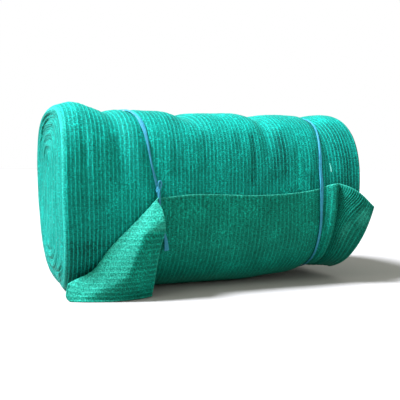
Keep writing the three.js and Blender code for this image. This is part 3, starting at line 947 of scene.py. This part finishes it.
# Painted shade on the gathered corner, kept as its pressed number.
gathered_corner_shade = 0.35 * ease((loose_chain - 42) / 8)
keep_number(loose_end, "pressed", [gathered_corner_shade, gathered_corner_shade])
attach(loose_end, "root")
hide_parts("loose_end")

# %% [markdown]
# ## The ties
# A tie is a strip of thin film, gathered between the fingers to a flat strand, so its
# section is a row of small pleats that change along it. Each tie is swept along its route
# on the roll, a little above the chains. The left one runs under the loose end and has the
# knot and the tail. The right one runs over the loose end and holds it.

# %% Sweeping a strand of film
section_points = 9


def strand(name, centre, out, width, pleat_seed, closed, thickness=0.7, pleat=0.55):
    """A pleated strip swept along its centre line, with its crown to the outside."""
    steps = len(centre)
    if closed:
        along = np.roll(centre, -1, axis=0) - np.roll(centre, 1, axis=0)
    else:
        along = np.gradient(centre, axis=0)
    across = np.cross(out, along)
    across /= np.linalg.norm(across, axis=1, keepdims=True)
    share = np.linspace(-1, 1, section_points)[None, :]
    travelled = np.arange(steps)[:, None]
    folds = pleat * np.sin(share * 7 + 3 * drift(travelled / 26, pleat_seed)
                           + 2 * drift(travelled / 9, pleat_seed + 1))
    folds = folds + 0.5 * pleat * drift(travelled / 6 + share * 2, pleat_seed + 2)
    crown = 0.9 * (1 - share ** 2)
    side = share * width[:, None] / 2
    top = centre[:, None] + across[:, None] * side[..., None]
    top = top + out[:, None] * (crown + folds + thickness / 2)[..., None]
    low = centre[:, None] + across[:, None] * (side * 0.94)[..., None]
    low = low + out[:, None] * (np.minimum(0.25 * crown + folds * 0.6, 0.9) - thickness)[..., None]
    loop = np.concatenate([top, low[:, ::-1]], axis=1)
    around = 2 * section_points
    i, j = np.meshgrid(np.arange(steps if closed else steps - 1), np.arange(around), indexing="ij")
    rows_of = np.stack([i, i, i + 1, i + 1], -1).reshape(-1, 4)
    places = np.stack([j, j + 1, j + 1, j], -1).reshape(-1, 4)
    numbers = (rows_of % steps) * around + places % around
    position = np.where(places % around < section_points, places % around,
                        around - 1 - places % around) / (section_points - 1)
    faces, maps = [*numbers], [np.stack([position, rows_of * 0.9], -1)]
    if not closed:
        first = np.arange(around)
        faces += [first[::-1], first + (steps - 1) * around]
        maps.append(np.zeros((2 * around, 2)))
    return piece_from(name, loop.reshape(-1, 3), faces, maps, blue_film)


def out_of(turn):
    """The direction away from the roll's axis."""
    angle = np.radians(turn)
    return np.stack([np.zeros_like(angle), -np.sin(angle), -np.cos(angle)], -1)


print("points in a strand's section:", 2 * section_points)

# %% [markdown]
# The routes are read every degree. Where the right tie meets the loose end it climbs onto
# it, and just above the cut edge it comes down again.

# %% The two ties
tie_turns = np.arange(0, 360, 1.0)
tie_lift, cloth_lift = 2.7, 4.6


def tie_round_roll(name, route, lift, seed):
    x = read(route, "turn", "x", tie_turns) + 0.5 * drift(tie_turns / 14, seed)
    width = read(route, "turn", "width", tie_turns) * (1 + 0.12 * drift(tie_turns / 8, seed + 5))
    centre = roll_point(x, tie_turns, both_beds, lift)
    return strand(name, centre, out_of(tie_turns), width, seed, closed=True)


over_cloth = ease((tie_turns - 13) / 9) * ease((114 - tie_turns) / 14)
right_lift = tie_lift + cloth_lift * over_cloth
right_tie = tie_round_roll("right_tie_film", right_tie_route, right_lift, 61)
left_tie = tie_round_roll("left_tie_film", left_tie_route, tie_lift, 71)

# %% [markdown]
# ## Knot and tail
# The knot is a lump of crossed film with one small loop standing off it, just above the cut
# edge. The tail comes down behind the folded corner and spreads to its cut end, where the
# film isn't gathered any more.

# %% Tail
tail_route = {
    "turn": [62, 69, 75, 82, 90, 94.5, 98],
    "x": [-142, -147, -154, -160, -163, -164, -164],
    "lift": [9.5, 8.5, 7, 6, 6, 5.5, 4],
    "width": [12, 7.5, 4, 4, 5, 6, 6],
}
tail_turns = np.linspace(98, 62, 60)
tail_x = read(tail_route, "turn", "x", tail_turns)
tail_width = read(tail_route, "turn", "width", tail_turns)
tail_centre = roll_point(tail_x, tail_turns, [], read(tail_route, "turn", "lift", tail_turns))
tail = strand("tie_tail", tail_centre, out_of(tail_turns), tail_width, 81, closed=False, pleat=0.5)

# %% [markdown]
# The loop is a narrow drop shape: it leaves the knot upwards and comes back to it.

# %% Loop
knot_turn, knot_x, knot_lift = 97.5, -165.0, 6.0
loop_steps, loop_height, loop_width = 48, 19, 3.4
knot_middle = roll_point(knot_x, knot_turn, both_beds, knot_lift)
loop_angle = 2 * math.pi * np.linspace(0, 1, loop_steps)
loop_centre = knot_middle + np.stack([
    3.0 + 4.2 * np.sin(loop_angle) * (0.4 + 0.6 * np.sin(loop_angle / 2)),
    -1.5 - 2.5 * np.sin(loop_angle / 2),
    2 + loop_height * np.sin(loop_angle / 2) ** 1.5,
], -1)
loop_out = np.stack([np.cos(loop_angle) * 0.5, -np.ones(loop_steps), np.zeros(loop_steps)], -1)
loop_out /= np.linalg.norm(loop_out, axis=1, keepdims=True)
knot_loop = strand("tie_loop", loop_centre, loop_out, np.full(loop_steps, loop_width), 91,
                   closed=False, pleat=0.35)

# %% [markdown]
# The knot itself is a rounded lump with the lines of the wraps pressed into it.

# %% Knot
half_sizes = (5.2, 4.2, 7.4)


def make_knot():
    around, high = 28, 18
    angle = np.arange(around)[None, :] / around * 2 * math.pi
    rise = (np.arange(1, high)[:, None] / high - 0.5) * math.pi
    wrap_lines = 0.11 * np.sin(rise * 6 + 3 * np.sin(angle)) + 0.08 * np.sin(angle * 3 + rise * 4)
    ball = np.stack([np.cos(rise) * np.cos(angle), np.cos(rise) * np.sin(angle),
                     np.sin(rise) + 0 * angle], -1)
    points = (ball * half_sizes * (1 + wrap_lines)[..., None]).reshape(-1, 3)
    points = np.concatenate([points, [[0, 0, -7.0], [0, 0, 7.0]]]) + knot_middle
    corners = grid_faces(high - 1, around + 1)
    faces = [*(corners[..., 0] * around + corners[..., 1] % around)]
    low, top = (high - 1) * around, (high - 1) * around + 1
    for k in range(around):
        faces.append([low, (k + 1) % around, k])
        faces.append([top, (high - 2) * around + k, (high - 2) * around + (k + 1) % around])
    maps = [np.stack([corners[..., 1] / around * 3, corners[..., 0] / 3.0], -1),
            np.zeros((2 * around * 3, 2))]
    return piece_from("tie_knot", points, faces, maps, blue_film)


knot = make_knot()
for piece in (right_tie, left_tie, tail, knot_loop, knot):
    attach(piece, "root")
    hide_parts("right_tie" if piece == right_tie else "left_tie")

# %% [markdown]
# ## A snagged yarn
# Beside the right tie the wrap has been snagged, and a tuft of pale bared film yarn stands
# there. It is a tiny open fan, so it is swept like a strand, from nothing to its full width.

# %% Snagged yarn
def bared_material():
    material, wire, shader = new_material("bared_yarn", {"Roughness": 0.5})
    point = wire.make("ShaderNodeTexCoord", out=3)
    mottle = noise(wire, point, 400.0, 1.0).between(shade(40, 120, 104), shade(90, 176, 158))
    plug(wire.tree, shader.inputs["Base Color"], mottle)
    return material


snag_share = np.linspace(0, 1, 14)
snag_turns, snag_x = 115 - 6 * snag_share, 293 + 1.5 * np.sin(snag_share * 2)
snag_centre = roll_point(snag_x, snag_turns, both_beds, 1.6 + 1.2 * snag_share)
snag = strand("snagged_yarn", snag_centre, out_of(snag_turns), 0.6 + 3.4 * snag_share, 96,
              closed=False, thickness=0.4, pleat=0.3)
snag.data.materials.clear()
snag.data.materials.append(bared_material())
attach(snag, "root")
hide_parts("net_roll")

# %% [markdown]
# ## Floor and light
# The roll lies on a plain pale floor. A broad lamp like a hazy sun stands high on the left,
# so the top and the near end are bright and the front is in half shade. A small lamp near
# the left end and a low one in front lift that shade, and so do the pale surroundings. The
# floor takes so much of the high lamp that a middle grey already looks white.

# %% Floor
floor_half = 12
floor_mesh = bpy.data.meshes.new("floor")
sides = [(-1, -1), (1, -1), (1, 1), (-1, 1)]
floor_mesh.from_pydata([(a * floor_half, b * floor_half, 0) for a, b in sides], [], [(0, 1, 2, 3)])
floor = new_object("floor", floor_mesh)
pale = {"Base Color": (0.27, 0.27, 0.24, 1), "Roughness": 0.9, "Specular IOR Level": 0.1}
floor_mesh.materials.append(new_material("pale_floor", pale)[0])
floor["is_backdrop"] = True
print("floor in m:", 2 * floor_half)

# %% [markdown]
# A lamp shines along its own downward axis, so it is turned until that axis points the way
# its light should go.

# %% Lamps and surroundings
def new_lamp(name, kind, place, shines_to, energy):
    data = bpy.data.lights.new(name, kind)
    data.energy = energy
    lamp = new_object(name, data)
    lamp.location = place
    lamp.rotation_euler = Vector(shines_to).to_track_quat("-Z", "Y").to_euler()
    print(name, "strength:", energy)
    return data


high_left = new_lamp("lamp_high_left", "SUN", (0, 0, 0), (0.60, -0.05, -0.80), 14.5)
high_left.angle, high_left.color = math.radians(14), (1.0, 1.0, 1.2)
front_low = new_lamp("lamp_front_low", "AREA", (0.3, -2.6, 0.25), (-0.1, 2.6, -0.1), 6)
front_low.shape, front_low.size = "DISK", 1.6
near_left = new_lamp("lamp_near_left", "AREA", (-1.0, -0.75, 1.05), (0.75, 0.6, -0.75), 5)
near_left.shape, near_left.size = "DISK", 0.6
world = bpy.data.worlds.new("surroundings")
world.use_nodes = True
background = world.node_tree.nodes["Background"]
background.inputs["Color"].default_value = (1.0, 1.0, 1.0, 1)
background.inputs["Strength"].default_value = 1.0
bpy.context.scene.world = world
bpy.context.scene.view_settings.view_transform = "Standard"

# %% Print the growth of the box and finish
dressed_box = [list(corner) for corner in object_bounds()]
growth = [round((b[k] - a[k]) * 1000, 1) for a, b in zip(cad_box, dressed_box) for k in range(3)]
print("dressed box minus the solids' box in mm:", growth)
